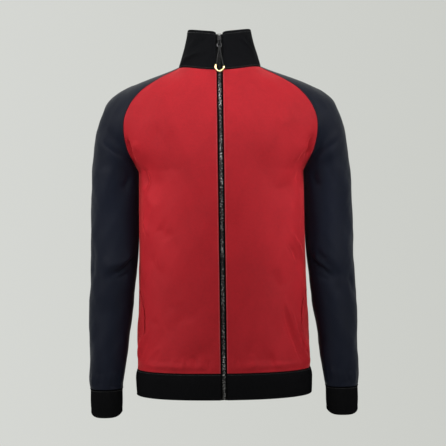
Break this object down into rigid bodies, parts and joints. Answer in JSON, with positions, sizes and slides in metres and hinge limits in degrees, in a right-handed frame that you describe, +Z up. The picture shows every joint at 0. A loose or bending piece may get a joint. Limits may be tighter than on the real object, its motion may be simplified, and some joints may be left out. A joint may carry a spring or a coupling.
{
  "type": "track jacket",
  "caption": "Track jacket with a stand collar, dark raglan sleeves on a red body, black cuffs and hem band, and a full-length front zip with a corded pull.",
  "frame": {"origin": "middle of the neck opening, level with the ends of the shoulder line", "axes": "+Z up along the wearer's body, the front faces -Y, +X to the wearer's left"},
  "size_m": [0.5458, 0.2326, 0.7815],
  "materials": {
    "red_cloth": "soft knitted polyester, slight nap",
    "navy_cloth": "smooth knitted polyester, faint sheen",
    "black_cloth": "smooth knitted polyester",
    "black_rib": "fine matt rib",
    "zip_tape": "woven tape",
    "zip_teeth": "grey coil with a shine",
    "dark_metal": "dark satin",
    "cord": "braided",
    "brass": "polished"
  },
  "bodies": {
    "jacket": {"front_left": "red_cloth", "front_right": "red_cloth", "back": "red_cloth", "sleeve_left": "navy_cloth", "sleeve_right": "navy_cloth", "cuff_left": "black_rib", "cuff_right": "black_rib", "hem_band": "black_rib", "collar": "black_cloth", "pocket_welt_left": "red_cloth", "pocket_welt_right": "red_cloth", "zip_tape_left": "zip_tape", "zip_tape_right": "zip_tape", "zip_chain": "zip_teeth", "zip_slider": "dark_metal"},
    "pull": {"pull_ring": "dark_metal", "pull_cord": "cord", "pull_tube": "brass"}
  },
  "joints": [
    {"name": "pull_swing", "type": "hinge", "parent": "jacket", "child": "pull", "pos_m": [0, -0.07057, 0.04447], "axis": [-1, 0, 0], "range_deg": [0, 135]}
  ]
}
